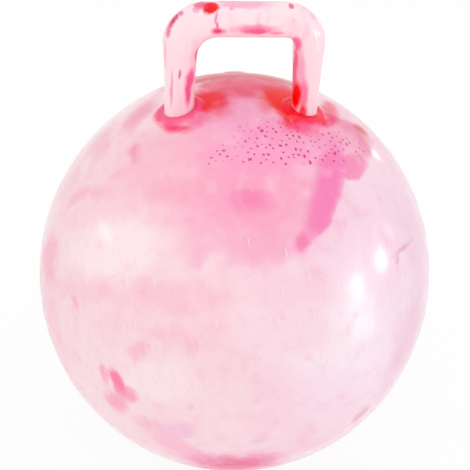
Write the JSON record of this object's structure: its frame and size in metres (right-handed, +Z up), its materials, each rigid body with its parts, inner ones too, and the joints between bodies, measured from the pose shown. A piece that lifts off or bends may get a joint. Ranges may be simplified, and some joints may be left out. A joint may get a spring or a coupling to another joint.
{
  "type": "hopper ball",
  "caption": "Blown-up ball to sit and bounce on, with a rigid-looking bridge handle on its crown and a plugged valve at the back.",
  "frame": {"origin": "middle of the flat that the ball rests on, under the middle of the bounding box", "axes": "+X along the handle's bar, +Y towards the valve at the back, +Z up through the crown and the handle"},
  "size_m": [0.4499, 0.45, 0.5847],
  "materials": {
    "skin_pvc": "glossy soft PVC, marbled pink",
    "handle_pvc": "glossy soft PVC, marbled pale pink",
    "seat_pvc": "satin soft PVC",
    "plug_pvc": "satin PVC"
  },
  "bodies": {
    "ball": {"ball_skin": "skin_pvc", "handle": "handle_pvc", "valve_seat": "seat_pvc"},
    "plug": {"valve_plug": "plug_pvc"}
  },
  "joints": [
    {"name": "plug_pull", "type": "slide", "parent": "ball", "child": "plug", "axis": [0, 0.5878, 0.809], "range_m": [0, 0.04]}
  ]
}
